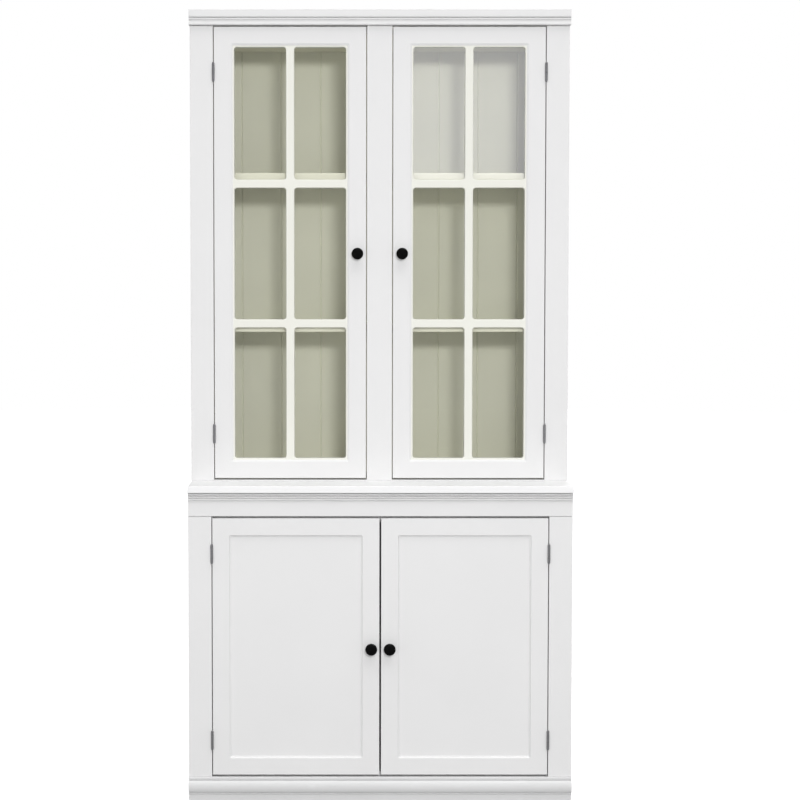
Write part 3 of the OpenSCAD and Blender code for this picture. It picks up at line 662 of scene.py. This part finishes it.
def build_grid(prefix):
    """The glazing grid: a pierced plate with soft edges in front, and webs between the panes."""
    low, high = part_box(prefix + "_muntins")
    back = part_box(prefix + "_panes")[0].y
    half_bar = MUNTIN_W / 2
    bm = bmesh.new()
    for i, j, hole in pane_openings(prefix):
        cell = (
            low.x if i == 0 else hole[0] - half_bar,
            low.z if j == 0 else hole[1] - half_bar,
            high.x if i == PANE_COLUMNS - 1 else hole[2] + half_bar,
            high.z if j == PANE_ROWS - 1 else hole[3] + half_bar,
        )
        grid_cell(bm, hole, cell, low.y, back)
    bmesh.ops.remove_doubles(bm, verts=bm.verts, dist=CELL_WELD)
    bmesh.ops.bridge_loops(bm, edges=[e for e in bm.edges if e.is_boundary])
    web = half_bar - GLASS_LIP
    centre = (low.x + high.x) / 2
    add_board(bm, Vector((centre - web, back, low.z + GRID_BORDER)),
              Vector((centre + web, high.y, high.z - GRID_BORDER)), WEB_EASE)
    for i, j, hole in pane_openings(prefix):
        if j == PANE_ROWS - 1:
            continue
        z = hole[3] + half_bar
        x0, x1 = (hole[0], centre - web) if i == 0 else (centre + web, hole[2])
        add_board(bm, Vector((x0, back, z - web)), Vector((x1, high.y, z + web)), WEB_EASE)
    # the grid's lighter paint is painted light on the bars
    finish_piece(bm, prefix + "_glazing_grid", prefix + "_door", GRID_PAINTED_LIGHT,
                 prefix + "_muntins")


# ---------------------------------------------------------------- doors and hardware

# The knob's foot and rim: share of its radius, share of its length
KNOB_FOOT = ((0.6, 0), (0.62, 0.03), (0.58, 0.06))
KNOB_RIM = ((0.74, 0.58), (0.9, 0.63), (0.97, 0.67), (1, 0.72), (0.99, 0.77))
# Shares of the knob's radius
KNOB_NECK, KNOB_STEM, KNOB_DOME = 0.4, 0.5, 0.985
# Shares of the knob's length: where the stem starts and its length, where the dome starts
STEM_START, STEM_LENGTH = 0.1, 0.42
DOME_START = 0.79
KNOB_STEPS = 64
PIN_STEPS = 32
# Steps of the glazed doors' inner edge in mm: width, depth behind the face, corner radius
GLAZED_EDGE = ((0.6, 2.4, 0.8), (2.4, 1.5, 1.5), (4.2, 0.45, 2.5), (5.2, 0, 3))
# The base doors' edge past the bead: first its rows by height over the panel, then by depth
BEAD_EDGE = ((2.1, 1.6, 2.6), (2.3, 2, 2.8))
BEVEL_EDGE = ((3.9, 0.3, 4.2), (4.5, 0, 4.7))


def build_knob(prefix):
    """A turned knob: flange, waisted stem and a flattened dome."""
    low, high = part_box(prefix + "_knob")
    centre = Vector(((low.x + high.x) / 2, high.y, (low.z + high.z) / 2))
    radius = (high.x - low.x) / 2
    out = high.y - low.y
    neck, stem = radius * KNOB_NECK, radius * KNOB_STEM
    stem_steps, dome_steps = 8, 12
    profile = [(0, 0)]
    profile += [(radius * r, out * d) for r, d in KNOB_FOOT]
    for i in range(stem_steps + 1):
        t = i / stem_steps
        waist = neck + (stem - neck) * (2 * t - 1) ** 2
        profile.append((waist, out * (STEM_START + STEM_LENGTH * t)))
    profile += [(radius * r, out * d) for r, d in KNOB_RIM]
    for i in range(1, dome_steps):
        a = math.radians(90 * i / dome_steps)
        height = DOME_START + (1 - DOME_START) * math.sin(a)
        profile.append((radius * KNOB_DOME * math.cos(a), out * height))
    profile.append((0, out))
    bm = bmesh.new()
    lathe(bm, profile, centre, (0, -1, 0), KNOB_STEPS)
    finish_piece(bm, prefix + "_turned_knob", prefix + "_door", BLACK,
                 prefix + "_knob", LATHE_SHARP_DEG)


def build_hutch_door(prefix):
    """A glazed door: a frame rebated behind for the glass, its grid and its knob."""
    low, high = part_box(prefix + "_stiles")
    grid_low, grid_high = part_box(prefix + "_muntins")
    opening = (grid_low.x, grid_low.z, grid_high.x, grid_high.z)
    thickness = high.y - low.y
    glass_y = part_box(prefix + "_panes")[0].y - low.y
    chamfer = 0.5 * MM
    edge_y = 3 * MM
    rebate = GLASS_LIP - GRID_BORDER
    steps = [(rebate + chamfer, rebate + chamfer, thickness, INNER_CORNER),
             (rebate, rebate, thickness - chamfer, INNER_CORNER),
             (rebate, rebate, glass_y, INNER_CORNER),
             (0, 0, glass_y, INNER_CORNER),
             (0, 0, edge_y, INNER_CORNER)]
    steps += [(d * MM, d * MM, y * MM, r * MM) for d, y, r in GLAZED_EDGE]
    build_frame(prefix, opening, low.y, thickness, steps)
    build_grid(prefix)
    build_knob(prefix)


def build_base_door(prefix):
    """A panelled door: a frame grooved for its panel, with a bead and a bevel, and its knob."""
    low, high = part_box(prefix + "_stiles")
    panel_low, panel_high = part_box(prefix + "_panel")
    tongue = 8 * MM
    opening = (panel_low.x + tongue, panel_low.z + tongue,
               panel_high.x - tongue, panel_high.z - tongue)
    thickness = high.y - low.y
    panel_y, panel_back = panel_low.y - low.y, panel_high.y - low.y
    chamfer = 0.8 * MM
    bead_r = 1.6 * MM
    steps = [(chamfer, chamfer, thickness, INNER_CORNER),
             (0, 0, thickness - chamfer, INNER_CORNER),
             (0, 0, panel_back, INNER_CORNER),
             (tongue, tongue, panel_back, INNER_CORNER),
             (tongue, tongue, panel_y, INNER_CORNER),
             (0, 0, panel_y, INNER_CORNER)]
    steps += [(d, d, panel_y - y, INNER_CORNER + d) for d, y in arc(bead_r, 0, bead_r, 180, 90, 5)]
    steps += [(d * MM, d * MM, panel_y - y * MM, r * MM) for d, y, r in BEAD_EDGE]
    steps += [(d * MM, d * MM, y * MM, r * MM) for d, y, r in BEVEL_EDGE]
    build_frame(prefix, opening, low.y, thickness, steps)
    build_knob(prefix)


def build_hinge_pins():
    """Eight pins with a rounded finial at each end."""
    hinge_h = 41 * MM
    pin_r = 1.5 * MM
    tip = 3.5 * MM
    finial_r, finial_fullness = 2.7 * MM, 0.8
    cap = []
    for degrees in range(15, 91, 15):
        a = math.radians(degrees)
        cap.append((finial_r * math.sin(a) ** finial_fullness, tip * math.cos(a)))
    profile = [(0, -tip)] + [(r, -h) for r, h in cap]
    profile += [(pin_r, 0), (pin_r, hinge_h)]
    profile += [(r, hinge_h + h) for r, h in reversed(cap)] + [(0, hinge_h + tip)]
    bm = bmesh.new()
    for joint in frame["joints"]:
        x, y, _ = joint["pos_m"]
        low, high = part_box(joint["child"].replace("_door", "_hinge_leaves"))
        for z in (low.z, high.z - hinge_h):
            lathe(bm, profile, Vector((x, y, z)), (0, 0, 1), PIN_STEPS)
    finish_piece(bm, "hinge_pin_set", CABINET, STEEL, "hinge_pins",
                 LATHE_SHARP_DEG)


def dress_cad_nodes():
    """Gives every CAD node that still shows its material."""
    keys = {"panes": GLASS, "glazing_beads": PAINT_Z, "panel": PAINT_Z,
            # the back boards' lighter cream is partly painted light
            "back_boards": INSIDE_CREAM_PAINTED_LIGHT, "magnetic": PLASTIC, "hinge": STEEL, "screws": STEEL,
            "strike": STEEL, "shelf_pins": STEEL}
    for node, piece in frame["nodes"].items():
        for key, material in keys.items():
            if key in node:
                piece.data.materials.clear()
                piece.data.materials.append(material)
                break


# ---------------------------------------------------------------- stage, light and camera

FLOOR_RADIUS = 12
FLOOR_SIDES = 64
FLOOR_GREY = (0.42, 0.42, 0.42, 1)
FLOOR_GLOW = 0.8
WORLD_SEEN = 1.0
WORLD_LIGHT = 0.45
# Place, target, size and power of each area light, in metres and watts
AREA_LIGHTS = {
    "key": ((0.264, -3.79, 1.8), (0, 0, 1.3), (0.45, 0.25), 56),
    "window": ((0.5, -3.9, 2.1), (0.5, 0, 2.1), (0.7, 0.68), 4.8),
    "fill": ((-1.9, -3.6, 1.0), (0, 0, 1.0), (1.3, 1.6), 11),
    "second_fill": ((1.9, -3.6, 1.0), (0, 0, 1.0), (1.3, 1.6), 6),
    "rear_fill": ((0.9, 3.6, 1.9), (0, 0, 1.0), (1.6, 1.6), 30),
}
WINDOW_BLUE = (0.81, 0.81, 1.0)
OVERHEAD_ANGLE_DEG = 50
OVERHEAD_POWER = 1.5
OVERHEAD_DIRECTION = (-0.1, 0.33, -0.94)
LENS = 69.61
SHIFT = (0.0833, -0.065)
CAMERA_X = -0.11
CAMERA_DISTANCE = 3.6
CAMERA_Z = 1.25
CAMERA_DOWN_DEG = 2.336


def source(nodes, kind, strength):
    """A white emission or background of some strength."""
    node = nodes.new(kind)
    node.inputs["Strength"].default_value = strength
    node.inputs["Color"].default_value = (1, 1, 1, 1)
    return node.outputs[0]


def camera_rays(nodes):
    """1 for what the camera sees directly, else 0."""
    return nodes.new("ShaderNodeLightPath").outputs["Is Camera Ray"]


def build_stage():
    """A plain pale floor, lifted towards white for the camera only."""
    bm = bmesh.new()
    angles = [2 * math.pi * i / FLOOR_SIDES for i in range(FLOOR_SIDES)]
    bm.faces.new([bm.verts.new((FLOOR_RADIUS * math.cos(a), FLOOR_RADIUS * math.sin(a), 0))
                  for a in angles])
    mesh = bpy.data.meshes.new("floor")
    bm.to_mesh(mesh)
    bm.free()
    floor = bpy.data.objects.new("floor", mesh)
    bpy.context.scene.collection.objects.link(floor)
    material, nodes, links, output = new_material("pale_floor")
    shader = nodes.new("ShaderNodeBsdfDiffuse")
    shader.inputs["Color"].default_value = FLOOR_GREY
    none = source(nodes, "ShaderNodeEmission", 0.0)
    glow = source(nodes, "ShaderNodeEmission", FLOOR_GLOW)
    both = nodes.new("ShaderNodeAddShader")
    links.new(shader.outputs["BSDF"], both.inputs[0])
    links.new(mix_shaders(nodes, links, camera_rays(nodes), none, glow), both.inputs[1])
    links.new(both.outputs["Shader"], output.inputs["Surface"])
    mesh.materials.append(material)


def place_light(name, light, direction):
    """A lamp that shines in a direction."""
    lamp = bpy.data.objects.new(name, light)
    bpy.context.scene.collection.objects.link(lamp)
    lamp.rotation_euler = direction.to_track_quat("-Z", "Y").to_euler()
    return lamp


def build_lights():
    """A soft studio: a pale world, area lights in front and behind, and a wide light overhead."""
    world = bpy.data.worlds.new("studio")
    bpy.context.scene.world = world
    world.use_nodes = True
    nodes, links = world.node_tree.nodes, world.node_tree.links
    nodes.clear()
    output = nodes.new("ShaderNodeOutputWorld")
    light = source(nodes, "ShaderNodeBackground", WORLD_LIGHT)
    seen = source(nodes, "ShaderNodeBackground", WORLD_SEEN)
    surface = mix_shaders(nodes, links, camera_rays(nodes), light, seen)
    links.new(surface, output.inputs["Surface"])
    lamps = {}
    for name, (place, target, size, power) in AREA_LIGHTS.items():
        area = bpy.data.lights.new(name, "AREA")
        area.shape = "RECTANGLE"
        area.size, area.size_y = size
        area.energy = power
        lamps[name] = place_light(name, area, Vector(target) - Vector(place))
        lamps[name].location = place
    # the key isn't mirrored in the glass; the window is what gives the right door's top its veil
    lamps["key"].visible_glossy = False
    lamps["window"].data.color = WINDOW_BLUE
    overhead = bpy.data.lights.new("overhead", "SUN")
    overhead.angle = math.radians(OVERHEAD_ANGLE_DEG)
    overhead.energy = OVERHEAD_POWER
    place_light("overhead", overhead, Vector(OVERHEAD_DIRECTION))


def build_camera():
    """The photograph's viewing angle: almost straight on, from a little above the lower shelf."""
    data = bpy.data.cameras.new("camera")
    data.lens = LENS
    data.shift_x, data.shift_y = SHIFT
    camera = bpy.data.objects.new("camera", data)
    bpy.context.scene.collection.objects.link(camera)
    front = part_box("base_frieze")[0].y
    camera.location = (CAMERA_X, front - CAMERA_DISTANCE, CAMERA_Z)
    camera.rotation_euler = (math.radians(90 - CAMERA_DOWN_DEG), 0, 0)
    bpy.context.scene.camera = camera


build_boards()
build_hutch_floor()
build_plinth()
build_counter_moulding()
build_countertop()
build_cornice()
for door in HUTCH_DOORS:
    build_hutch_door(door)
for door in BASE_DOORS:
    build_base_door(door)
build_hinge_pins()
dress_cad_nodes()
build_stage()
build_lights()
build_camera()
bpy.context.scene.view_settings.view_transform = "Standard"
